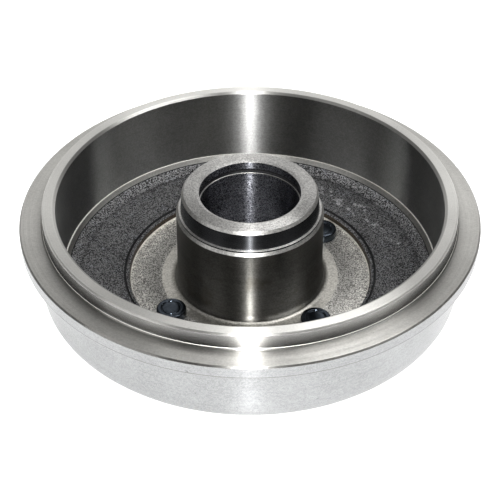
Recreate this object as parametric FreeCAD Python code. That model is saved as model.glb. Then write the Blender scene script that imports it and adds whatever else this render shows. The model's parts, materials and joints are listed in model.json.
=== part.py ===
import FreeCAD, Part
import math
import os

# Brake drum with an integral bearing hub and four pressed-in wheel studs.
# Millimetres. The origin is the centre of the stud circle in the wheel mounting face.
# +Z runs along the drum's axis towards its open end, and the stud tips are lowest.

# Driving dimensions of the brake track and the drum wall
track_radius = 101.6          # 8 inch braking surface
drum_height = 63.0            # wheel mounting face to open lip face
track_foot_height = 6.1       # foot of the braking surface above the cast floor
track_ledge_width = 0.8       # flat ring at the foot of the braking surface
track_lead_width = 1.5        # chamfer at the mouth of the braking surface
track_lead_depth = 1.2
wall_thickness = 11.3         # at the closed end of the wall
wall_draft = 1.0              # degrees, the wall widens towards the open end
closed_edge_bevel = 8.5       # bevel between the wall and the web

# Driving dimensions of the lip and the outer flange
lip_width = 7.0               # wall of the lip outside the braking surface
lip_height = 8.6              # lip face above the flange face
lip_edge_bevel = 0.7
lip_edge_drop = 1.0
lip_foot_bevel = 1.1
flange_width = 12.35          # flange beyond the lip
flange_thickness = 8.5
flange_top_bevel = 0.8
flange_low_bevel = 1.5
flange_root_bevel = 3.0

# Driving dimensions of the web and the stud seat
seat_thickness = 8.8          # machined seat to wheel mounting face
seat_margin = 3.7             # seat beyond the stud heads
seat_step_width = 0.6         # lean of the machined step round the seat
step_rim_width = 1.7          # cast rim round the step
step_rim_drop = 1.3           # inner edge of the rim below the floor
step_rim_low = 0.6            # outer edge of the rim below the floor
crease_width = 1.2            # cast crease between the rim and the floor
crease_depth = 1.2
pad_height = 6.6              # wheel mounting face below the web's outer face
web_thickness = 6.8
pad_margin = 18.0             # mounting face beyond the stud circle
pad_bevel = 2.4
floor_corner_width = 3.5      # sloped cast corner between the floor and the track band
floor_corner_round = 6.0
track_band_width = 2.0        # machined cone inside the track ledge

# Driving dimensions of the hub barrel
hub_standout = 1.9            # hub face above the lip face
hub_face_width = 6.45         # flat of the hub face round the bore's lead
hub_edge_width = 1.15
hub_edge_height = 1.6
neck_length = 10.5            # hub face to the shoulder below the neck
neck_draft_width = 0.7
shoulder_land_width = 1.3     # flat at the foot of the neck
shoulder_step_height = 1.0    # small step below the flat
shoulder_bevel_width = 1.1    # bevel from the step to the barrel
shoulder_bevel_height = 1.6
barrel_foot_widening = 0.6
barrel_foot_round = 4.0
foot_ring_width = 8.8         # turned ring round the foot of the barrel
foot_ring_depth = 0.2

# Driving dimensions of the bearing bore
bearing_radius = 26.5         # 53 mm bearing, pressed in
bearing_width = 37.0
bearing_entry_clearance = 0.3
bore_lead_width = 1.7
bore_lead_depth = 0.6
snap_groove_from_face = 4.8
snap_groove_width = 2.5
snap_groove_depth = 1.7
bearing_shoulder_width = 5.0

# Driving dimensions of the wheel spigot and the grease cap bore
spigot_radius = 31.65         # 63.3 mm wheel centring
spigot_length = 9.0
spigot_bevel = 1.5
spigot_relief_width = 2.0
spigot_relief_depth = 1.0
spigot_wall = 5.65            # round the grease cap bore
cap_bore_depth = 10.0
cap_bore_lead = 0.8

# Driving dimensions of the wheel studs
stud_count = 4
head_barrel_clearance = 6.2   # puts the studs on their 108 mm circle
stud_first_angle = 39.6       # degrees from +X
thread_radius = 6.0           # M12 by 1.5
stud_standout = 33.0          # stud tip below the wheel mounting face
stud_tip_length = 3.0         # plain guide at the tip
stud_tip_step = 1.0           # guide inside the thread
stud_tip_bevel = 0.8
head_overhang = 1.6           # head beyond the knurl
head_height = 5.0
head_edge_bevel = 1.2
head_rim_width = 2.8          # rim round the dish in the head
head_dish_depth = 0.4
knurl_step = 0.4              # knurl crests beyond the thread
knurl_setback = 1.5           # end of the knurl above the wheel mounting face
neck_step = 0.4               # neck between knurl and thread, inside the thread
knurl_teeth = 24
knurl_depth = 0.5
knurl_crest_share = 0.3       # crest width as a share of the tooth pitch
stud_hole_clearance = 0.0     # the knurl crests bear on the hole
stud_hole_bevel = 0.7

# Heights that several features share
seat_z = seat_thickness
web_outer_z = pad_height
floor_z = web_outer_z + web_thickness
track_foot_z = floor_z + track_foot_height
open_face_z = drum_height
flange_face_z = open_face_z - lip_height
flange_low_z = flange_face_z - flange_thickness
hub_face_z = open_face_z + hub_standout
groove_top_z = hub_face_z - snap_groove_from_face
groove_low_z = groove_top_z - snap_groove_width
bearing_shoulder_z = groove_low_z - bearing_width
spigot_end_z = -spigot_length
cap_bore_floor_z = spigot_end_z + cap_bore_depth

# Radii that several features share, from the bore outwards
entry_radius = bearing_radius + bearing_entry_clearance
nut_hole_radius = bearing_radius - bearing_shoulder_width
hub_face_radius = entry_radius + bore_lead_width + hub_face_width
neck_foot_radius = hub_face_radius + hub_edge_width + neck_draft_width
shoulder_land_radius = neck_foot_radius + shoulder_land_width
barrel_top_radius = shoulder_land_radius + shoulder_bevel_width
barrel_foot_radius = barrel_top_radius + barrel_foot_widening
foot_ring_radius = barrel_foot_radius + foot_ring_width
knurl_radius = thread_radius + knurl_step
stud_hole_radius = knurl_radius + stud_hole_clearance
head_radius = knurl_radius + head_overhang
stud_circle_radius = barrel_foot_radius + head_barrel_clearance + head_radius
seat_radius = stud_circle_radius + head_radius + seat_margin
pad_radius = stud_circle_radius + pad_margin
cap_bore_radius = spigot_radius - spigot_wall
lip_radius = track_radius + lip_width
flange_radius = lip_radius + flange_width
wall_low_radius = track_radius + wall_thickness
wall_low_z = web_outer_z + closed_edge_bevel
wall_top_radius = wall_low_radius + (flange_low_z - wall_low_z) * math.tan(math.radians(wall_draft))

axis = FreeCAD.Vector(0, 0, 1)
base = FreeCAD.Vector(0, 0, 0)


def corner_arc(before, corner, after, radius):
    """Start, middle and end of the arc that rounds a corner, held inside its two edges."""
    back = before - corner
    ahead = after - corner
    half_angle = back.getAngle(ahead) / 2
    room = 0.48 * min(back.Length, ahead.Length)
    run = min(radius / math.tan(half_angle), room)
    radius = run * math.tan(half_angle)
    back.normalize()
    ahead.normalize()
    bisector = back + ahead
    bisector.normalize()
    centre = corner + bisector * (radius / math.sin(half_angle))
    return corner + back * run, centre - bisector * radius, corner + ahead * run


def outline_face(corners):
    """A flat face in the XZ plane from corners given as (radius, height, rounding)."""
    points = [FreeCAD.Vector(r, 0, z) for r, z, _ in corners]
    count = len(points)
    edges = []
    first = None
    last = None
    for i in range(count):
        rounding = corners[i][2]
        if rounding > 0:
            start, middle, end = corner_arc(points[i - 1], points[i], points[(i + 1) % count], rounding)
        else:
            start = points[i]
            end = points[i]
        if last is None:
            first = start
        else:
            edges.append(Part.LineSegment(last, start).toShape())
        if rounding > 0:
            edges.append(Part.Arc(start, middle, end).toShape())
        last = end
    edges.append(Part.LineSegment(last, first).toShape())
    return Part.Face(Part.Wire(edges))


def turned(corners):
    """A solid of revolution about the drum's axis."""
    return outline_face(corners).revolve(base, axis, 360)


def stud_places():
    """Centre and angle of each stud on the stud circle."""
    for i in range(stud_count):
        angle = stud_first_angle + 360 * i / stud_count
        x = stud_circle_radius * math.cos(math.radians(angle))
        y = stud_circle_radius * math.sin(math.radians(angle))
        yield FreeCAD.Vector(x, y, 0), angle


def hub_corners():
    """Hub face, neck, shoulder, barrel and the turned ring at its foot, from the bore outwards."""
    neck_foot_z = hub_face_z - neck_length
    shoulder_step_z = neck_foot_z - shoulder_step_height
    ring_z = seat_z - foot_ring_depth
    return [
        (entry_radius, hub_face_z - bore_lead_depth, 0),
        (entry_radius + bore_lead_width, hub_face_z, 0),
        (hub_face_radius, hub_face_z, 0),
        (hub_face_radius + hub_edge_width, hub_face_z - hub_edge_height, 0),
        (neck_foot_radius, neck_foot_z, 0),
        (shoulder_land_radius, neck_foot_z, 0),
        (shoulder_land_radius, shoulder_step_z, 0),
        (barrel_top_radius, shoulder_step_z - shoulder_bevel_height, 0),
        (barrel_foot_radius, ring_z, barrel_foot_round),
        (foot_ring_radius, ring_z, 0),
    ]


def floor_corners():
    """Machined stud seat, its step, the cast floor and the machined band below the track."""
    step_radius = seat_radius + seat_step_width
    rim_radius = step_radius + step_rim_width
    band_inner_radius = track_radius - track_ledge_width - track_band_width
    band_low_z = floor_z + floor_corner_width
    return [
        (foot_ring_radius, seat_z, 0),
        (seat_radius, seat_z, 0),
        (step_radius, floor_z - step_rim_drop, 0),
        (rim_radius, floor_z - step_rim_low, 0),
        (rim_radius + crease_width / 2, floor_z - crease_depth, 0),
        (rim_radius + crease_width, floor_z, 0),
        (band_inner_radius - floor_corner_width, floor_z, floor_corner_round),
        (band_inner_radius, band_low_z, 0),
        (track_radius - track_ledge_width, track_foot_z, 0),
        (track_radius, track_foot_z, 0),
    ]


def rim_corners():
    """Mouth of the track, lip, outer flange, wall and the bevelled closed edge."""
    return [
        (track_radius, open_face_z - track_lead_depth, 0),
        (track_radius + track_lead_width, open_face_z, 0),
        (lip_radius - lip_edge_bevel, open_face_z, 0),
        (lip_radius, open_face_z - lip_edge_drop, 0),
        (lip_radius, flange_face_z + lip_foot_bevel, 0),
        (lip_radius + lip_foot_bevel, flange_face_z, 0),
        (flange_radius - flange_top_bevel, flange_face_z, 0),
        (flange_radius, flange_face_z - flange_top_bevel, 0),
        (flange_radius, flange_low_z + flange_low_bevel, 0),
        (flange_radius - flange_low_bevel, flange_low_z, 0),
        (wall_top_radius + flange_root_bevel, flange_low_z, 0),
        (wall_top_radius, flange_low_z - flange_root_bevel, 0),
        (wall_low_radius, wall_low_z, 0),
        (wall_low_radius - closed_edge_bevel, web_outer_z, 0),
    ]


def wheel_side_corners():
    """Web, wheel mounting pad, spigot, grease cap bore and bearing bore, back to the hub face."""
    cap_lead_radius = cap_bore_radius + cap_bore_lead
    groove_radius = entry_radius + snap_groove_depth
    return [
        (pad_radius + pad_bevel, web_outer_z, 0),
        (pad_radius, 0, 0),
        (spigot_radius + spigot_relief_width, 0, 0),
        (spigot_radius + spigot_relief_width, spigot_relief_depth, 0),
        (spigot_radius, spigot_relief_depth, 0),
        (spigot_radius, spigot_end_z + spigot_bevel, 0),
        (spigot_radius - spigot_bevel, spigot_end_z, 0),
        (cap_lead_radius, spigot_end_z, 0),
        (cap_bore_radius, spigot_end_z + cap_bore_lead, 0),
        (cap_bore_radius, cap_bore_floor_z, 0),
        (nut_hole_radius, cap_bore_floor_z, 0),
        (nut_hole_radius, bearing_shoulder_z, 0),
        (bearing_radius, bearing_shoulder_z, 0),
        (bearing_radius, groove_low_z, 0),
        (groove_radius, groove_low_z, 0),
        (groove_radius, groove_top_z, 0),
        (entry_radius, groove_top_z, 0),
    ]


def drum_casting():
    """The whole casting, turned from one outline and drilled for the studs."""
    body = turned(hub_corners() + floor_corners() + rim_corners() + wheel_side_corners())
    over = 1.0
    for centre, _ in stud_places():
        start = centre - axis * over
        hole = Part.makeCylinder(stud_hole_radius, seat_z + 2 * over, start, axis)
        mouth_radius = stud_hole_radius + stud_hole_bevel
        mouth = Part.makeCone(mouth_radius + over, stud_hole_radius, stud_hole_bevel + over, start, axis)
        body = body.cut(hole.fuse(mouth))
    return body


def knurl_ring(low_z, high_z):
    """Knurled length of a shank: straight V flutes between narrow crests."""
    root_radius = knurl_radius - knurl_depth
    pitch = 2 * math.pi / knurl_teeth
    half_crest = pitch * knurl_crest_share / 2
    points = []
    for tooth in range(knurl_teeth):
        middle = tooth * pitch
        for radius, angle in (
            (knurl_radius, middle - half_crest),
            (knurl_radius, middle + half_crest),
            (root_radius, middle + pitch / 2),
        ):
            points.append(FreeCAD.Vector(radius * math.cos(angle), radius * math.sin(angle), low_z))
    points.append(points[0])
    return Part.Face(Part.makePolygon(points)).extrude(axis * (high_z - low_z))


def wheel_stud():
    """One stud on its own axis: dished round head, knurled shank, M12 body and guide tip."""
    head_top_z = seat_z + head_height
    tip_z = -stud_standout
    guide_z = tip_z + stud_tip_length
    tip_radius = thread_radius - stud_tip_step
    dish_radius = head_radius - head_rim_width
    neck_radius = thread_radius - neck_step
    shank = turned([
        (0, head_top_z - head_dish_depth, 0),
        (dish_radius, head_top_z - head_dish_depth, 0),
        (dish_radius, head_top_z, 0),
        (head_radius - head_edge_bevel, head_top_z, 0),
        (head_radius, head_top_z - head_edge_bevel, 0),
        (head_radius, seat_z, 0),
        (neck_radius, seat_z, 0),
        (neck_radius, neck_step, 0),
        (thread_radius, 0, 0),
        (thread_radius, guide_z + stud_tip_step, 0),
        (tip_radius, guide_z, 0),
        (tip_radius, tip_z + stud_tip_bevel, 0),
        (tip_radius - stud_tip_bevel, tip_z, 0),
        (0, tip_z, 0),
    ])
    return shank.fuse(knurl_ring(knurl_setback, seat_z)).removeSplitter()


def export(shape, node):
    """Write one solid to its own file and print its size."""
    solid = shape.Solids[0]
    solid.exportStep("parts/" + node + ".step")
    box = solid.BoundBox
    print(node, len(shape.Solids), solid.isValid(), round(solid.Volume), round(box.ZMin, 2))


os.makedirs("parts", exist_ok=True)
export(drum_casting(), "drum_casting")
stud = wheel_stud()
for number, (centre, angle) in enumerate(stud_places(), start=1):
    placed = stud.copy()
    placed.rotate(base, axis, angle)
    placed.translate(centre)
    export(placed, "wheel_stud_" + str(number))
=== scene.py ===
import json
import math

import bpy
import numpy as np
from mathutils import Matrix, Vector


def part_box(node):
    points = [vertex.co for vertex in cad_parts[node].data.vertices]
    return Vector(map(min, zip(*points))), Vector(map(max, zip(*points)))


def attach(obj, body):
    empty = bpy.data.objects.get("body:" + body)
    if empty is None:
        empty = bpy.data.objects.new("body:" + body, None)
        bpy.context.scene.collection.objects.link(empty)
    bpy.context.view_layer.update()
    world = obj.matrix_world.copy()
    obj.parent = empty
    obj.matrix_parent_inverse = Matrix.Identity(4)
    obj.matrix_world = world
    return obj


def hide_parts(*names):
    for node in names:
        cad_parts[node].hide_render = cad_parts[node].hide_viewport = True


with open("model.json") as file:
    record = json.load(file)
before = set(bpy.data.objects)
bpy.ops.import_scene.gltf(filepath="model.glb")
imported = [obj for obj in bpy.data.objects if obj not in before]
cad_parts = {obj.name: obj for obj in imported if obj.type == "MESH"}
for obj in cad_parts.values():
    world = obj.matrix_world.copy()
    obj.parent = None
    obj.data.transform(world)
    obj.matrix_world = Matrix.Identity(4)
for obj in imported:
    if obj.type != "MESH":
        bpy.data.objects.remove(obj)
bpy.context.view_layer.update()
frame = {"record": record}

# Looks of the brake drum and its wheel studs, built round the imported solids.
# Lengths below are in millimetres from the wheel mounting face and the drum's axis.
MM = 0.001

casting_low, casting_high = (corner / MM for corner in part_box("drum_casting"))
mounts = {mount["name"]: mount for mount in frame["record"]["mounts"]}


def mount_radius(name):
    """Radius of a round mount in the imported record, in millimetres."""
    return mounts[name]["dims"]["r_mm"]


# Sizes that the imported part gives
FLANGE_R = casting_high.x
HUB_FACE_Z = casting_high.z
SPIGOT_END_Z = casting_low.z
BEARING_R = mount_radius("bearing_bore")
SPIGOT_R = mount_radius("spigot")
CAP_BORE_R = mount_radius("cap_bore")

# Braking surface, lip and flange
TRACK_R = 101.6
TRACK_FOOT_Z = 19.5
LIP_FACE_Z = 63.0
LIP_R = 108.6
FLANGE_FACE_Z = 54.4
FLANGE_LOW_Z = 45.9
WALL_TOP_R = 113.4
WALL_LOW_R = 112.9
CLOSED_EDGE = 8.5

# Web, seat and floor
WEB_Z = 6.6
PAD_R = 72.0
FLOOR_Z = 13.4
SEAT_Z = 8.8
SEAT_R = 65.7
STEP_R = 66.3
RIM_R = 68.0
CREASE_R = 68.6
RING_R = 48.6
RING_Z = 8.6
BAND_R = 98.8

# Hub
ENTRY_R = 26.8
HUB_FACE_R = 34.95
NECK_FOOT_R = 36.8
NECK_FOOT_Z = 54.4
LAND_R = 38.1
LAND_STEP_Z = 53.4
BARREL_TOP_R = 39.2
BARREL_TOP_Z = 51.8
BARREL_FOOT_R = 39.8
GROOVE_R = 28.5
GROOVE_TOP_Z = 60.1
GROOVE_LOW_Z = 57.6
BEARING_SHOULDER_Z = 20.6
NUT_HOLE_R = 21.5

# Wheel studs
STUD_HOLE_R = 6.4
STUD_HOLE_BEVEL = 0.7
THREAD_R = 6.0
THREAD_PITCH = 1.5
THREAD_DEPTH = 0.92
ROWS_PER_PITCH = 9
KNURL_TEETH = 24
KNURL_DEPTH = 0.5
NECK_DEPTH = 0.4
STUD_CENTRE_R = 0.6


# Meshes

ARC_STEP = math.radians(20)
EDGE_SHARE = 0.45


def mesh_piece(name, points, faces, finishes, slots=None):
    """One smooth mesh object from points in millimetres, at the origin.

    slots holds the number of each face's finish. Without it all faces take the first finish.
    """
    mesh = bpy.data.meshes.new(name)
    mesh.from_pydata((points * MM).tolist(), [], faces)
    for finish in finishes:
        mesh.materials.append(finish)
    if slots is not None:
        mesh.polygons.foreach_set("material_index", slots)
    mesh.polygons.foreach_set("use_smooth", np.ones(len(faces), bool))
    mesh.validate()
    piece = bpy.data.objects.new(name, mesh)
    bpy.context.scene.collection.objects.link(piece)
    return piece


def rounded_outline(corners):
    """Grid rows along an outline of (radius, height, rounding, steps, finish) corners.

    A rounded corner becomes an arc that touches both of its edges, in at least two steps and none wider
    than ARC_STEP. It takes up no more than EDGE_SHARE of either edge. The straight after each corner is
    cut into its number of steps and carries its finish, which meets the one before it halfway round the
    corner's arc.
    """
    places = np.array([(r, z) for r, z, *_ in corners], float)
    ahead = np.roll(places, -1, 0) - places
    lengths = np.linalg.norm(ahead, axis=1)
    ahead /= lengths[:, None]
    behind = -np.roll(ahead, 1, 0)
    half = np.arccos(np.clip((ahead * behind).sum(1), -1, 1)) / 2
    wanted = np.array([c[2] for c in corners], float)
    room = EDGE_SHARE * np.minimum(lengths, np.roll(lengths, 1))
    runs = np.minimum(wanted / np.tan(half), room)
    rows, finishes = [], []
    for i, (_, _, rounding, steps, finish) in enumerate(corners):
        before = corners[i - 1][4]
        if rounding > 0:
            radius = runs[i] * math.tan(half[i])
            bisector = ahead[i] + behind[i]
            bisector /= np.linalg.norm(bisector)
            centre = places[i] + bisector * radius / math.sin(half[i])
            first = places[i] + behind[i] * runs[i] - centre
            last = places[i] + ahead[i] * runs[i] - centre
            turn = math.atan2(first[0] * last[1] - first[1] * last[0], first @ last)
            count = max(2, math.ceil(abs(turn) / ARC_STEP))
            angles = np.linspace(0, turn, count + 1)[:, None]
            across = np.array([-first[1], first[0]])
            arc = centre + first * np.cos(angles) + across * np.sin(angles)
            rows.extend(arc[:-1])
            finishes.extend([before] * (count - count // 2) + [finish] * (count // 2))
            start = arc[-1]
        else:
            start = places[i]
        j = (i + 1) % len(corners)
        end = places[j] + behind[j] * (runs[j] if corners[j][2] > 0 else 0)
        along = np.linspace(0, 1, steps + 1)[:-1, None]
        rows.extend(start + (end - start) * along)
        finishes.extend([finish] * steps)
    return np.array(rows), np.array(finishes)


def turned_grid(rows, around):
    """Radii, heights and angles of an outline's rows, with each row repeated at so many angles."""
    radii = np.repeat(rows[:, :1], around, 1)
    heights = np.repeat(rows[:, 1:], around, 1)
    return radii, heights, np.linspace(0, 2 * math.pi, around, endpoint=False)


def turned_skin(radii, heights, angles, closed):
    """Points and faces of a turned surface on a grid of rows by angles.

    The point at row i and angle a is (radius cos a, radius sin a, height). A closed outline joins its last
    row to its first. An open one is closed by two fans, from its first and its last row to the axis.
    Faces point outward when the outline runs up its inside and down its outside.
    """
    rows, around = radii.shape
    points = np.stack([radii * np.cos(angles), radii * np.sin(angles), heights], -1).reshape(-1, 3)
    turn = np.arange(around)
    turned = (turn + 1) % around
    first = np.arange(rows if closed else rows - 1)[:, None] * around
    second = (first + around) % (rows * around)
    quads = np.stack([first + turn, second + turn, second + turned, first + turned], -1)
    quads = quads.reshape(-1, 4).tolist()
    if closed:
        return points, quads
    ends = [(0, 0, heights[0].mean()), (0, 0, heights[-1].mean())]
    pole = np.full(around, len(points))
    last = (rows - 1) * around
    top = np.stack([turn, turned, pole], -1)
    bottom = np.stack([last + turned, last + turn, pole + 1], -1)
    return np.vstack([points, ends]), quads + top.tolist() + bottom.tolist()


def waves(x, y, size, seed):
    """Smooth uneven field over a plane, with hills about size across.

    It is the sum of 24 sine waves of random heading, phase and stretch, over the square root of 24.
    """
    count = 24
    whole_turn = 6.283
    rng = np.random.default_rng(seed)
    total = np.zeros_like(x)
    for heading, phase, stretch in rng.random((count, 3)):
        pull = 2 * math.pi / size * (0.6 + 0.8 * stretch)
        heading *= whole_turn
        total += np.sin(pull * (x * math.cos(heading) + y * math.sin(heading)) + whole_turn * phase)
    return total / count ** 0.5


def even_shading(piece):
    """Normals weighted by face area, so the flats stay flat beside their small rounds."""
    weighted = piece.modifiers.new("even_shading", "WEIGHTED_NORMAL")
    weighted.weight = 60
    weighted.keep_sharp = True


# Finishes of the casting, in the order of its material slots
(BORE, SHADE, EDGE, LEDGE, HUB_FACE, NECK, BARREL, RING, SEAT, STEP, CAST, BAND, TRACK, LIP, LIP_WALL,
 FLANGE, WALL, WEB) = range(18)


def drum_corners():
    """Outline of the casting as (radius, height, rounding, steps, finish), from the bore up and round."""
    return [
        # Bearing bore and snap ring groove
        (NUT_HOLE_R, 1.0, 0.2, 1, BORE),
        (NUT_HOLE_R, BEARING_SHOULDER_Z, 0.4, 1, BORE),
        (BEARING_R, BEARING_SHOULDER_Z, 0.2, 1, BORE),
        # Painted shade on the bore's top edge and in the snap ring groove, with a thin painted highlight on
        # the groove's lower face
        (BEARING_R, GROOVE_LOW_Z - 0.4, 0, 1, SHADE),
        (BEARING_R, GROOVE_LOW_Z, 0, 1, EDGE),
        (BEARING_R + 0.7, GROOVE_LOW_Z, 0, 1, SHADE),
        (GROOVE_R, GROOVE_LOW_Z, 0, 1, SHADE),
        (GROOVE_R, GROOVE_TOP_Z, 0, 1, SHADE),
        (ENTRY_R, GROOVE_TOP_Z, 0.1, 1, BORE),
        # Hub face, neck, land and barrel
        (ENTRY_R, HUB_FACE_Z - 0.6, 0.2, 1, HUB_FACE),
        (ENTRY_R + 1.7, HUB_FACE_Z, 0.3, 2, HUB_FACE),
        (HUB_FACE_R, HUB_FACE_Z, 0.4, 1, EDGE),
        (HUB_FACE_R + 1.15, HUB_FACE_Z - 1.6, 0.5, 1, NECK),
        (NECK_FOOT_R, NECK_FOOT_Z, 0.2, 1, EDGE),
        (LAND_R, NECK_FOOT_Z, 0.2, 1, NECK),
        (LAND_R, LAND_STEP_Z, 0.15, 1, EDGE),
        (BARREL_TOP_R, BARREL_TOP_Z, 0.3, 2, BARREL),
        (BARREL_FOOT_R, RING_Z, 4.0, 1, RING),
        # Stud seat, rim and cast floor
        (RING_R, RING_Z, 0.1, 1, SEAT),
        (RING_R, SEAT_Z, 0.1, 2, SEAT),
        (SEAT_R, SEAT_Z, 0.1, 1, LEDGE),
        (SEAT_R + 0.2, SEAT_Z + 1.0, 0, 1, STEP),
        (STEP_R, FLOOR_Z - 1.3, 0.5, 1, CAST),
        # Painted shade down the rim and in the crease at the inner edge of the cast floor
        (RIM_R, FLOOR_Z - 0.6, 0.4, 1, SHADE),
        (CREASE_R, FLOOR_Z - 1.2, 0.1, 1, SHADE),
        (CREASE_R + 0.6, FLOOR_Z, 0.4, 24, CAST),
        (BAND_R - 3.5, FLOOR_Z, 6.0, 3, CAST),
        # Painted shade line at the foot of the band
        (BAND_R, FLOOR_Z + 3.5, 0.3, 1, SHADE),
        (BAND_R + 0.3, FLOOR_Z + 3.9, 0, 1, BAND),
        # Braking surface, lip and flange
        (BAND_R + 2.0, TRACK_FOOT_Z, 0.2, 1, LEDGE),
        (TRACK_R, TRACK_FOOT_Z, 0.1, 3, TRACK),
        (TRACK_R, LIP_FACE_Z - 1.2, 0.3, 1, LIP),
        (TRACK_R + 1.5, LIP_FACE_Z, 0.4, 1, LIP),
        (LIP_R - 0.7, LIP_FACE_Z, 0.3, 1, LIP),
        (LIP_R, LIP_FACE_Z - 1.0, 0.4, 1, LIP_WALL),
        (LIP_R, FLANGE_FACE_Z + 1.1, 0.1, 1, LIP_WALL),
        (LIP_R + 0.4, FLANGE_FACE_Z + 0.7, 0, 1, LEDGE),
        (LIP_R + 0.6, FLANGE_FACE_Z + 0.5, 0, 1, FLANGE),
        (LIP_R + 1.1, FLANGE_FACE_Z, 0.1, 1, FLANGE),
        (FLANGE_R - 0.8, FLANGE_FACE_Z, 0.3, 1, FLANGE),
        # Edge of the flange and outer wall
        (FLANGE_R, FLANGE_FACE_Z - 0.8, 0.3, 1, WALL),
        # Two thin bands of the dark lip wall finish on the flange's rim: painted shade lines along the
        # flange's lower edge
        (FLANGE_R, FLANGE_LOW_Z + 2.3, 0, 1, LIP_WALL),
        (FLANGE_R, FLANGE_LOW_Z + 1.9, 0, 1, WALL),
        (FLANGE_R, FLANGE_LOW_Z + 1.5, 0.8, 1, LIP_WALL),
        (FLANGE_R - 1.5, FLANGE_LOW_Z, 0.8, 1, WALL),
        (WALL_TOP_R + 3.0, FLANGE_LOW_Z, 2.0, 1, WALL),
        (WALL_TOP_R, FLANGE_LOW_Z - 3.0, 2.0, 4, WALL),
        (WALL_LOW_R, WEB_Z + CLOSED_EDGE, 7.0, 1, WALL),
        # Wheel side, spigot and cap bore
        (WALL_LOW_R - CLOSED_EDGE, WEB_Z, 5.0, 3, WEB),
        (PAD_R + 2.4, WEB_Z, 1.2, 1, WEB),
        (PAD_R, 0, 0.5, 2, WEB),
        (SPIGOT_R + 2.0, 0, 0.15, 1, WEB),
        (SPIGOT_R + 2.0, 1.0, 0.15, 1, WEB),
        (SPIGOT_R, 1.0, 0.15, 1, WEB),
        (SPIGOT_R, SPIGOT_END_Z + 1.5, 0.4, 1, WEB),
        (SPIGOT_R - 1.5, SPIGOT_END_Z, 0.3, 1, WEB),
        (CAP_BORE_R + 0.8, SPIGOT_END_Z, 0.2, 1, WEB),
        (CAP_BORE_R, SPIGOT_END_Z + 0.8, 0.2, 1, BORE),
        (CAP_BORE_R, 1.0, 0.3, 1, BORE),
    ]


def stud_axes():
    """Axis position of each stud, from the middle of its solid's box, in millimetres."""
    for number in range(1, 5):
        low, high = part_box(f"wheel_stud_{number}")
        yield f"wheel_stud_{number}", (low + high) / 2 / MM


def casting(finishes):
    """The casting as one closed turned skin, uneven where it is as cast, with its four stud holes cut.

    Each row of the rounded outline is turned through 400 angles. The cast floor's height gains 0.10 mm
    times waves 11 mm across and 0.05 mm times waves 4 mm across, which fade out towards its edges.
    """
    around = 400
    rows, row_slots = rounded_outline(drum_corners())
    radii, heights, angles = turned_grid(rows, around)
    x, y = radii * np.cos(angles), radii * np.sin(angles)
    as_cast = np.clip((radii - CREASE_R - 0.6) / 3, 0, 1) * np.clip((BAND_R - 1 - radii) / 2, 0, 1)
    as_cast *= (heights > FLOOR_Z - 2) & (heights < FLOOR_Z + 4)
    heights = heights + as_cast * (0.10 * waves(x, y, size=11, seed=3) + 0.05 * waves(x, y, size=4, seed=5))
    points, faces = turned_skin(radii, heights, angles, closed=True)
    piece = mesh_piece("drum_casting_surface", points, faces, finishes, np.repeat(row_slots, around))
    cut_stud_holes(piece)
    even_shading(piece)
    return piece


def cut_stud_holes(piece):
    """Subtract a turned plug at each stud, which widens at 45 degrees to the wheel mounting face."""
    outline = np.array([
        (STUD_HOLE_R, SEAT_Z + 1),
        (STUD_HOLE_R, STUD_HOLE_BEVEL),
        (STUD_HOLE_R + STUD_HOLE_BEVEL + 1, -1),
    ])
    for _, place in stud_axes():
        points, faces = turned_skin(*turned_grid(outline, around=64), closed=False)
        points += (place.x, place.y, 0)
        slots = np.full(len(faces), WEB)
        plug = mesh_piece("stud_hole_plug", points, faces, list(piece.data.materials), slots)
        cut = piece.modifiers.new("stud_hole", "BOOLEAN")
        cut.operation = "DIFFERENCE"
        cut.solver = "MANIFOLD"
        cut.object = plug
        depsgraph = bpy.context.evaluated_depsgraph_get()
        drilled = bpy.data.meshes.new_from_object(piece.evaluated_get(depsgraph))
        piece.modifiers.clear()
        piece.data = drilled
        bpy.data.objects.remove(plug)


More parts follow.
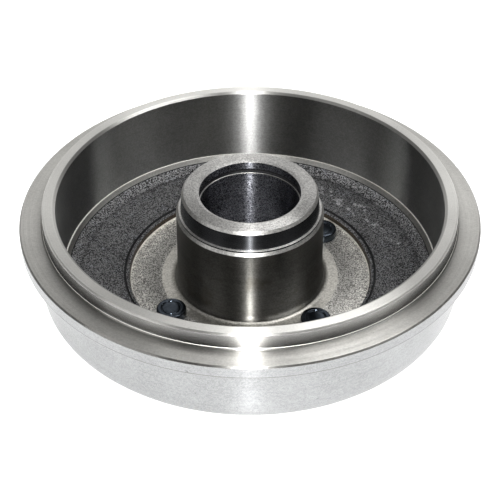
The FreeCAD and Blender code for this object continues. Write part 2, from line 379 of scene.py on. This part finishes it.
def wheel_stud(name, place, finish):
    """One wheel stud as a turned skin from the dish in its head down to its tip.

    Radius of the knurl: root plus its depth times a half plus the cosine of 24 turns, held from 0 to 1.
    Radius of the thread: crest minus its depth times a trapezoid wave of height / pitch - angle / turn,
    which fades in above the tip and out below the wheel mounting face. A plain neck parts the two. The
    shank's own rows give way to nine rows for each pitch of the thread.
    """
    box_low, box_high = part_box(name)
    low, high = box_low.z / MM, box_high.z / MM
    head_r = (box_high.x - box_low.x) / 2 / MM
    corners = [
        # Head, with a ring groove round its dish
        (STUD_CENTRE_R, high - 0.25, 0, 2, 0),
        (head_r - 3.5, high - 0.25, 0.3, 1, 0),
        (head_r - 3.2, high - 0.6, 0.15, 1, 0),
        (head_r - 2.9, high - 0.6, 0.15, 1, 0),
        (head_r - 2.5, high, 0.4, 1, 0),
        (head_r - 0.1, high, 1.6, 1, 0),
        (head_r, SEAT_Z, 0.3, 1, 0),
        # Shank and guide tip
        (THREAD_R - 0.1, SEAT_Z, 0, 24, 0),
        (THREAD_R, low + 3.0, 0, 1, 0),
        (THREAD_R - 1.0, low + 2.4, 0.3, 2, 0),
        (THREAD_R - 1.0, low + 0.8, 0.2, 1, 0),
        (THREAD_R - 1.8, low, 0.2, 2, 0),
        (STUD_CENTRE_R, low, 0, 1, 0),
    ]
    rows, _ = rounded_outline(corners)
    rows = rows[:-1]
    shank = (np.abs(rows[:, 0] - THREAD_R) < 0.11) & (rows[:, 1] < SEAT_Z)
    first, last = np.flatnonzero(shank)[[0, -1]]
    down = np.arange(SEAT_Z - 0.05, low + 3.0, -THREAD_PITCH / ROWS_PER_PITCH)
    rows = np.vstack([rows[:first], np.stack([np.full(len(down), THREAD_R), down], 1), rows[last + 1:]])
    radii, heights, angles = turned_grid(rows, around=96)
    on_shank = (np.abs(radii - THREAD_R) < 1e-6) & (heights < SEAT_Z)
    wave = np.abs(2 * ((heights / THREAD_PITCH - angles / (2 * math.pi)) % 1) - 1)
    groove = np.clip(1.25 * wave - 0.1, 0, 1)
    fade = np.clip(-heights / 1.5, 0, 1) * np.clip((heights - low - 2.6) / 1.5, 0, 1)
    thread = THREAD_R - 0.04 - THREAD_DEPTH * groove * fade
    knurl = STUD_HOLE_R - KNURL_DEPTH * (1 - np.clip(0.5 + np.cos(KNURL_TEETH * angles), 0, 1))
    neck = np.full_like(radii, THREAD_R - NECK_DEPTH)
    shaped = np.where(heights > 1.5, knurl, np.where(heights > 0.4, neck, thread))
    radii = np.where(on_shank, shaped, radii)
    points, faces = turned_skin(radii, heights, angles, closed=False)
    points += (place.x, place.y, 0)
    piece = mesh_piece(name + "_surface", points, faces, [finish])
    even_shading(piece)
    return piece


# Materials, with the scales of their patterns per metre

RING_SCALE = 1100
GROOVE_SCALE = 9000
STAIN_SCALE = 48
NICK_SCALE = 260
SCAR_HEADING = (0.766, 0.643, 0)


def add(tree, kind, inputs=None, **settings):
    """Add a node, set it up, and fill its inputs with values or with other nodes' outputs."""
    new = tree.nodes.new(kind)
    for name, value in settings.items():
        setattr(new, name, value)
    for key, value in (inputs or {}).items():
        if isinstance(value, bpy.types.NodeSocket):
            tree.links.new(value, new.inputs[key])
        else:
            new.inputs[key].default_value = value
    return new


def calc(tree, operation, *values):
    """One Math node's result."""
    return add(tree, "ShaderNodeMath", dict(enumerate(values)), operation=operation).outputs[0]


def geometry(tree, operation, *values):
    """One Vector Math node's result, which is a vector."""
    return add(tree, "ShaderNodeVectorMath", dict(enumerate(values)), operation=operation).outputs["Vector"]


def parts_of(tree, vector):
    """The three parts of a vector."""
    return tuple(add(tree, "ShaderNodeSeparateXYZ", {0: vector}).outputs)


def noise(tree, place, scale, detail=3.0, rough=0.55):
    """Noise from 0 to 1 at a place, with a scale per metre."""
    inputs = {"Vector": place, "Scale": scale, "Detail": detail, "Roughness": rough}
    return add(tree, "ShaderNodeTexNoise", inputs).outputs["Fac"]


def grains(tree, place, scale):
    """A random value from 0 to 1 for each crystal of the metal, with so many crystals to the metre."""
    cells = add(tree, "ShaderNodeTexVoronoi", {"Vector": place, "Scale": scale}).outputs["Color"]
    return add(tree, "ShaderNodeSeparateColor", {0: cells}).outputs[0]


def swing(tree, *parts):
    """A share round 0.5 from (value, amount) parts, each value swinging round its own 0.5."""
    total = 0.5
    for value, amount in parts:
        total = calc(tree, "MULTIPLY_ADD", calc(tree, "SUBTRACT", value, 0.5), amount, total)
    return calc(tree, "MAXIMUM", calc(tree, "MINIMUM", total, 1.0), 0.0)


def spread(tree, value, low, high, to_low=0.0, to_high=1.0):
    """Map low..high to to_low..to_high, and hold it there outside."""
    inputs = {0: value, 1: low, 2: high, 3: to_low, 4: to_high}
    return add(tree, "ShaderNodeMapRange", inputs, clamp=True).outputs[0]


def blend_colours(tree, share, first, second):
    """Colour between first and second."""
    mix = add(tree, "ShaderNodeMix", data_type="RGBA")
    for socket, value in ((mix.inputs[0], share), (mix.inputs[6], first), (mix.inputs[7], second)):
        if isinstance(value, bpy.types.NodeSocket):
            tree.links.new(value, socket)
        else:
            socket.default_value = value if socket == mix.inputs[0] else (*value, 1)
    return mix.outputs[2]


def blank(name):
    """A node material, its tree and its Principled shader, with nothing else but the output."""
    material = bpy.data.materials.new(name)
    material.use_nodes = True
    tree = material.node_tree
    tree.nodes.clear()
    shader = add(tree, "ShaderNodeBsdfPrincipled")
    add(tree, "ShaderNodeOutputMaterial", {"Surface": shader.outputs[0]})
    return material, tree, shader


def turned_coordinates(tree):
    """Three places or headings that the metal's finish follows.

    They are the object position, the (radius, height) that turning marks follow, and the heading round
    the axis.
    """
    place = add(tree, "ShaderNodeTexCoord").outputs["Object"]
    x, y, height = parts_of(tree, place)
    flat = add(tree, "ShaderNodeCombineXYZ", {0: x, 1: y}).outputs[0]
    radius = add(tree, "ShaderNodeVectorMath", {0: flat}, operation="LENGTH").outputs["Value"]
    section = add(tree, "ShaderNodeCombineXYZ", {0: radius, 1: height}).outputs[0]
    heading = geometry(tree, "NORMALIZE", geometry(tree, "CROSS_PRODUCT", (0, 0, 1), place))
    return place, section, heading


def grooved(tree, section, heading, lean, tilt):
    """Surface normal on the long flank of the turning grooves.

    It leans by lean, across the grooves, and more or less by tilt from ring to ring. A pair of leans holds
    for the heights of the braking surface's foot and of the lip, with an even change between them.
    """
    normal = add(tree, "ShaderNodeNewGeometry").outputs["Normal"]
    across = geometry(tree, "CROSS_PRODUCT", heading, normal)
    if isinstance(lean, tuple):
        height = parts_of(tree, section)[1]
        lean = spread(tree, height, TRACK_FOOT_Z * MM, LIP_FACE_Z * MM, *lean)
    elif tilt:
        lean = spread(tree, noise(tree, section, GROOVE_SCALE, 0), 0.2, 0.8, lean - tilt, lean + tilt)
    push = add(tree, "ShaderNodeVectorMath", {0: across, "Scale": lean}, operation="SCALE").outputs[0]
    return geometry(tree, "NORMALIZE", geometry(tree, "ADD", normal, push))


def toned(tree, colour, section, axis, zones):
    """A colour times a factor that follows the radius (axis 0) or the height (axis 1).

    zones holds (millimetres, factor) stops, with an even change from each to the next.
    """
    measure = parts_of(tree, section)[axis]
    first, last = zones[0][0], zones[-1][0]
    ramp = add(tree, "ShaderNodeValToRGB", {0: spread(tree, measure, first * MM, last * MM)})
    stops = ramp.color_ramp.elements
    while len(stops) < len(zones):
        stops.new(0.5)
    for stop, (place, factor) in zip(stops, zones):
        stop.position = (place - first) / (last - first)
        stop.color = (factor, factor, factor, 1)
    tone = add(tree, "ShaderNodeMix", data_type="RGBA", blend_type="MULTIPLY")
    tone.inputs[0].default_value = 1
    tree.links.new(colour, tone.inputs[6])
    tree.links.new(ramp.outputs[0], tone.inputs[7])
    return tone.outputs[2]


def turned_iron(name, dark, light, roughness, anisotropy=1.0, lean=0.0, tilt=0.0, rings=0.5, grain=0.6,
                grain_scale=1500, clouds=0.5, cloud_scale=30, sparse=1.0, gloss=0.10, zones=None,
                levels=None, nicks=0.0, stain=None):
    """Machined grey iron: rings along the turning marks, open grain and soft clouds, in colour and gloss.

    rings, grain and clouds say how far each swings the colour from dark to light, and sparse above 1 keeps
    more of it dark. gloss is the range of roughness from grain to grain. lean and tilt set the grooves.
    zones and levels tone the colour by radius and by height in millimetres.
    """
    material, tree, shader = blank(name)
    place, section, heading = turned_coordinates(tree)
    fine = grains(tree, place, grain_scale)
    share = swing(tree, (noise(tree, section, RING_SCALE, 5, 0.75), rings * 2), (fine, grain),
                  (noise(tree, place, grain_scale * 0.5, 2, 0.6), grain * 0.6),
                  (noise(tree, place, cloud_scale, 3), clouds * 2))
    colour = blend_colours(tree, calc(tree, "POWER", share, sparse), dark, light)
    if stain:
        patches = spread(tree, noise(tree, place, STAIN_SCALE, 5, 0.62), 0.56, 0.76)
        colour = blend_colours(tree, patches, colour, stain)
    if nicks:
        marks = spread(tree, noise(tree, place, NICK_SCALE, 3, 0.7), 0.70, 0.74, 0.0, nicks)
        colour = blend_colours(tree, marks, colour, tuple(0.3 * part for part in dark))
    if zones:
        colour = toned(tree, colour, section, 0, zones)
    if levels:
        colour = toned(tree, colour, section, 1, levels)
    tree.links.new(colour, shader.inputs["Base Color"])
    worn = calc(tree, "MULTIPLY_ADD", fine, gloss, roughness - gloss / 2)
    tree.links.new(worn, shader.inputs["Roughness"])
    shader.inputs["Metallic"].default_value = 1
    shader.inputs["Anisotropic"].default_value = anisotropy
    shader.inputs["Anisotropic Rotation"].default_value = 0.25
    tree.links.new(heading, shader.inputs["Tangent"])
    if lean or tilt:
        tree.links.new(grooved(tree, section, heading, lean, tilt), shader.inputs["Normal"])
    return material


def sand_cast_iron(name):
    """As-cast skin: dark lumpy scale with fine sparkling grains in patches.

    Bright scattered scars lie in one patch, which starts 74 mm out along SCAR_HEADING and ends 88 mm from
    the axis.
    """
    material, tree, shader = blank(name)
    place, section, _ = turned_coordinates(tree)
    lumps = noise(tree, place, 1500, 3, 0.7)
    fine = grains(tree, place, 2300)
    share = swing(tree, (lumps, 4.2), (fine, 2.2), (noise(tree, place, 90, 4, 0.6), 0.8))
    share = calc(tree, "POWER", share, 2.2)
    colour = blend_colours(tree, share, (0.008, 0.008, 0.0085), (0.28, 0.28, 0.284))
    flecks = calc(tree, "MULTIPLY", noise(tree, place, 140, 2), fine)
    sparkle = spread(tree, flecks, 0.50, 0.58)
    colour = blend_colours(tree, sparkle, colour, (0.31, 0.32, 0.345))
    reach = add(tree, "ShaderNodeVectorMath", {0: place, 1: SCAR_HEADING}, operation="DOT_PRODUCT")
    inside = spread(tree, parts_of(tree, section)[0], 0.086, 0.088, 1, 0)
    scars = calc(tree, "MULTIPLY", spread(tree, reach.outputs["Value"], 0.074, 0.077), inside)
    scars = calc(tree, "MULTIPLY", scars, spread(tree, noise(tree, place, 240, 2), 0.56, 0.62))
    colour = blend_colours(tree, calc(tree, "MULTIPLY", scars, fine), colour, (0.70, 0.70, 0.71))
    # The zones darken the floor towards the crease and in a ring at the foot of the outer rounding, painted
    # shade, and make the rounding lighter up to the band
    zones = [(70, 0.8), (78, 0.9), (91.5, 0.9), (93, 0.5), (94.5, 1.0), (98.8, 1.3)]
    tree.links.new(toned(tree, colour, section, 0, zones), shader.inputs["Base Color"])
    tree.links.new(calc(tree, "MULTIPLY_ADD", sparkle, -0.15, 0.45), shader.inputs["Roughness"])
    shader.inputs["Metallic"].default_value = 0.6
    height = calc(tree, "MULTIPLY_ADD", lumps, 0.65, calc(tree, "MULTIPLY", fine, 0.35))
    height = calc(tree, "MULTIPLY_ADD", scars, 0.5, height)
    relief = add(tree, "ShaderNodeBump", {"Strength": 1, "Distance": 1.1 * MM, "Height": height})
    tree.links.new(relief.outputs[0], shader.inputs["Normal"])
    return material


def scale_and_painted_shade(name, colour, roughness):
    """Painted shade in the groove bottoms, the crease and thin dark lines by edges, and dark scale on the
    cast step, each with a rough grain.
    """
    material, tree, shader = blank(name)
    place = add(tree, "ShaderNodeTexCoord").outputs["Object"]
    share = swing(tree, (grains(tree, place, 1500), 0.8), (noise(tree, place, 240, 3), 1.2))
    darker = tuple(0.3 * part for part in colour)
    tree.links.new(blend_colours(tree, share, darker, colour), shader.inputs["Base Color"])
    shader.inputs["Roughness"].default_value = roughness
    shader.inputs["Metallic"].default_value = 0.4
    return material


def phosphated_steel(name):
    """Black oiled phosphate coating on the studs: dark and glossy, with a faint crystalline grain."""
    material, tree, shader = blank(name)
    place = add(tree, "ShaderNodeTexCoord").outputs["Object"]
    grain = noise(tree, place, 1900, 4, 0.6)
    share = swing(tree, (grain, 1.5), (noise(tree, place, 220, 3), 1.2))
    colour = blend_colours(tree, share, (0.015, 0.018, 0.022), (0.08, 0.095, 0.115))
    tree.links.new(colour, shader.inputs["Base Color"])
    tree.links.new(spread(tree, grain, 0.3, 0.7, 0.10, 0.20), shader.inputs["Roughness"])
    shader.inputs["Metallic"].default_value = 1
    relief = add(tree, "ShaderNodeBump", {"Strength": 1, "Distance": 0.03 * MM, "Height": grain})
    tree.links.new(relief.outputs[0], shader.inputs["Normal"])
    return material


def casting_finishes():
    """The casting's materials, in slot order."""
    return [
        turned_iron("bearing_bore_ground", (0.042, 0.044, 0.053), (0.36, 0.365, 0.395), roughness=0.31,
                    tilt=0.3, grain=0.75, grain_scale=2500, clouds=0.1, sparse=1.8, gloss=0.16),
        # Painted shade for the snap ring groove, the bore's top edge, the crease and the band's foot
        scale_and_painted_shade("groove_painted_shade", (0.012, 0.012, 0.014), 0.6),
        # Thin bright edges on the hub and the groove's lower face: turned metal, lighter than the faces
        # beside them as painted highlight
        turned_iron("turned_edges_painted_highlight", (0.34, 0.335, 0.322), (0.76, 0.75, 0.72), roughness=0.42,
                    anisotropy=0.6, tilt=0.2),
        # Pale rough ledges at the seat's edge, the braking surface's foot and the lip's foot: turned ledges
        # painted pale as highlight lines
        turned_iron("turned_ledge_painted_highlight", (0.70, 0.69, 0.64), (0.95, 0.94, 0.89), roughness=0.60,
                    anisotropy=0.0, grain=0.3),
        turned_iron("hub_face_turned", (0.26, 0.256, 0.249), (0.56, 0.552, 0.534), roughness=0.42,
                    anisotropy=0.8, lean=0.22, tilt=0.05, rings=0.15, grain=1.1, grain_scale=2000,
                    clouds=0.2),
        turned_iron("neck_ground", (0.07, 0.072, 0.078), (0.15, 0.155, 0.165), roughness=0.24,
                    lean=-0.12, tilt=0.1, grain=0.12, clouds=0.1, gloss=0.03),
        turned_iron("barrel_turned", (0.072, 0.07, 0.064), (0.165, 0.161, 0.148), roughness=0.34,
                    lean=(-0.62, 0.46), grain=0.5, grain_scale=1900, clouds=0.2,
                    stain=(0.08, 0.07, 0.055)),
        # The zones darken the rounding at the barrel's foot towards the barrel: painted shade in the corner
        turned_iron("foot_ring_turned", (0.36, 0.345, 0.31), (0.70, 0.68, 0.63), roughness=0.40,
                    anisotropy=0.0, rings=0.2, grain=0.8, clouds=0.2,
                    zones=[(39.8, 0.05), (41.2, 0.25), (42.2, 0.75), (43.6, 0.95), (48.6, 1.0)]),
        turned_iron("stud_seat_machined", (0.16, 0.154, 0.143), (1.0, 0.98, 0.93), roughness=0.50,
                    anisotropy=0.3, lean=0.25, rings=0.1, grain=1.5, grain_scale=2500, clouds=0.2,
                    sparse=1.15, gloss=0.2,
                    zones=[(48.6, 0.85), (50.5, 0.6), (56, 0.72), (61, 0.98), (65.7, 1.0)]),
        scale_and_painted_shade("step_scale", (0.05, 0.036, 0.024), 0.55),
        sand_cast_iron("sand_cast_iron"),
        turned_iron("track_foot_turned", (0.18, 0.177, 0.165), (0.46, 0.452, 0.43), roughness=0.40,
                    anisotropy=0.6, grain=0.3),
        turned_iron("braking_surface_honed", (0.136, 0.136, 0.133), (0.304, 0.304, 0.298), roughness=0.30,
                    lean=(0.36, 0.12), rings=0.15, grain=0.35, clouds=0.4, cloud_scale=22, gloss=0.04),
        turned_iron("lip_turned", (0.55, 0.543, 0.517), (0.76, 0.748, 0.715), roughness=0.32,
                    anisotropy=0.95, lean=0.04, tilt=0.15, rings=0.4, grain=0.3, grain_scale=2000,
                    gloss=0.03, nicks=0.5,
                    zones=[(101.6, 0.6), (102.8, 0.6), (103.3, 1.0), (108.6, 1.0)]),
        # The levels make the lip wall lighter towards its top and darker towards the flange at its foot:
        # painted shade
        turned_iron("lip_wall_ground", (0.17, 0.169, 0.165), (0.28, 0.277, 0.27), roughness=0.26,
                    rings=0.3, grain=0.05, clouds=0.2, gloss=0.01,
                    levels=[(55.4, 1.1), (58, 1.6), (62, 2.3)]),
        # The zones darken the flange next to the lip wall, painted shade and painted reflection of the
        # wall, and in a thin ring on its outer bevel, painted reflection
        turned_iron("flange_turned", (0.42, 0.413, 0.39), (0.63, 0.618, 0.588), roughness=0.30,
                    anisotropy=0.95, lean=0.03, tilt=0.15, grain=0.4, gloss=0.04, nicks=0.4,
                    zones=[(109.6, 0.65), (111.5, 0.9), (114, 1.0), (120.1, 1.0), (120.3, 0.65),
                           (120.95, 0.65)]),
        turned_iron("outer_wall_turned", (0.28, 0.285, 0.285), (0.465, 0.47, 0.475), roughness=0.22,
                    rings=0.3, grain=0.5, clouds=0.4, gloss=0.05, nicks=0.5),
        turned_iron("wheel_side_turned", (0.34, 0.33, 0.32), (0.68, 0.67, 0.65), roughness=0.38,
                    anisotropy=0.8, tilt=0.3, rings=0.8),
    ]


# Studio, with places in metres, angles in degrees, and the camera's sensor and lens in millimetres
FLOOR_RADIUS = 3.0
FLOOR_GLOW = 0.62
CAMERA_PLACE = (0, -0.50117, 0.42932)
CAMERA_DIP = 38.894
SENSOR_WIDTH = 36
LENS = 85.07


def seen_white():
    """Floor finish: pale ground, white outside the shadow to camera, glossy and transmission rays."""
    material, tree, shader = blank("studio_floor")
    tree.nodes.remove(shader)
    rays = add(tree, "ShaderNodeLightPath")
    seen = calc(tree, "MAXIMUM", rays.outputs["Is Camera Ray"], rays.outputs["Is Glossy Ray"])
    seen = calc(tree, "MAXIMUM", seen, rays.outputs["Is Transmission Ray"])
    ground = add(tree, "ShaderNodeBsdfDiffuse", {"Color": (0.7, 0.7, 0.7, 1)})
    glow = add(tree, "ShaderNodeEmission", {"Strength": calc(tree, "MULTIPLY", seen, FLOOR_GLOW)})
    both = add(tree, "ShaderNodeAddShader", {0: ground.outputs[0], 1: glow.outputs[0]})
    output = next(node for node in tree.nodes if node.type == "OUTPUT_MATERIAL")
    tree.links.new(both.outputs[0], output.inputs["Surface"])
    return material


def floor():
    """A round ground, level with the stud tips."""
    sides = 96
    radius = FLOOR_RADIUS / MM
    low = min(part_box(name)[0].z for name, _ in stud_axes()) / MM
    angles = np.linspace(0, 2 * math.pi, sides, endpoint=False)
    points = np.stack([radius * np.cos(angles), radius * np.sin(angles), np.full(sides, low)], 1)
    piece = mesh_piece("studio_floor", points, [list(range(sides))], [seen_white()])


def panel(name, azimuth, elevation, distance, width, height, radiance):
    """A soft box facing the drum, placed by azimuth from +X and elevation, as bright as its radiance."""
    a, e = math.radians(azimuth), math.radians(elevation)
    light = bpy.data.lights.new(name, "AREA")
    light.shape = "RECTANGLE"
    light.size, light.size_y = width, height
    light.energy = radiance * math.pi * width * height
    lamp = bpy.data.objects.new(name, light)
    lamp.location = distance * Vector((math.cos(a) * math.cos(e), math.sin(a) * math.cos(e), math.sin(e)))
    lamp.rotation_euler = lamp.location.to_track_quat("Z", "Y").to_euler()
    lamp.visible_camera = False
    bpy.context.scene.collection.objects.link(lamp)


def surroundings():
    """Plain grey room: dim walls and ceiling, dimmer on the camera's side, and a pale wall behind the drum.

    The pale wall ends short of the room's sides and is brighter on its right half and lower down.
    """
    world = bpy.data.worlds.new("studio_room")
    bpy.context.scene.world = world
    world.use_nodes = True
    tree = world.node_tree
    tree.nodes.clear()
    right, ahead, up = parts_of(tree, add(tree, "ShaderNodeTexCoord").outputs["Generated"])
    ceiling = spread(tree, up, 0.2, 0.6, 0.10, 0.25)
    dimmer = spread(tree, ahead, -0.8, 0.1, 0.35, 1.0)
    back_wall = spread(tree, ahead, 0.58, 0.78, 0.0, 0.70)
    brighter_right = spread(tree, right, -0.25, 0.25, 0.85, 1.35)
    brighter_low = spread(tree, up, 0.35, 0.60, 1.3, 0.9)
    ends = spread(tree, calc(tree, "ABSOLUTE", right), 0.45, 0.70, 1.0, 0.0)
    for factor in (brighter_right, brighter_low, ends):
        back_wall = calc(tree, "MULTIPLY", back_wall, factor)
    strength = calc(tree, "MULTIPLY_ADD", ceiling, dimmer, back_wall)
    room = add(tree, "ShaderNodeBackground", {"Color": (1, 1, 1, 1), "Strength": strength})
    add(tree, "ShaderNodeOutputWorld", {"Surface": room.outputs[0]})


def camera():
    """The camera stands in front of the drum and looks down at it."""
    data = bpy.data.cameras.new("camera")
    data.sensor_width = SENSOR_WIDTH
    data.lens = LENS
    body = bpy.data.objects.new("camera", data)
    body.location = CAMERA_PLACE
    body.rotation_euler = (math.radians(90 - CAMERA_DIP), 0, 0)
    bpy.context.scene.collection.objects.link(body)
    bpy.context.scene.camera = body


drum = casting(casting_finishes())
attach(drum, "root")
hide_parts("drum_casting")

stud_finish = phosphated_steel("stud_phosphate")
for node, place in stud_axes():
    stud = wheel_stud(node, place, stud_finish)
    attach(stud, "root")
    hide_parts(node)

floor()
panel("strip_light", azimuth=270, elevation=42, distance=1.2, width=0.045, height=1.30, radiance=120.0)
panel("back_panel", azimuth=84, elevation=64, distance=1.2, width=0.56, height=0.40, radiance=1.6)
panel("left_box", azimuth=211, elevation=32, distance=1.4, width=0.8, height=0.8, radiance=1.0)
panel("right_box", azimuth=10, elevation=66, distance=1.4, width=0.5, height=0.7, radiance=6.5)
surroundings()
camera()
bpy.context.scene.view_settings.view_transform = "Standard"
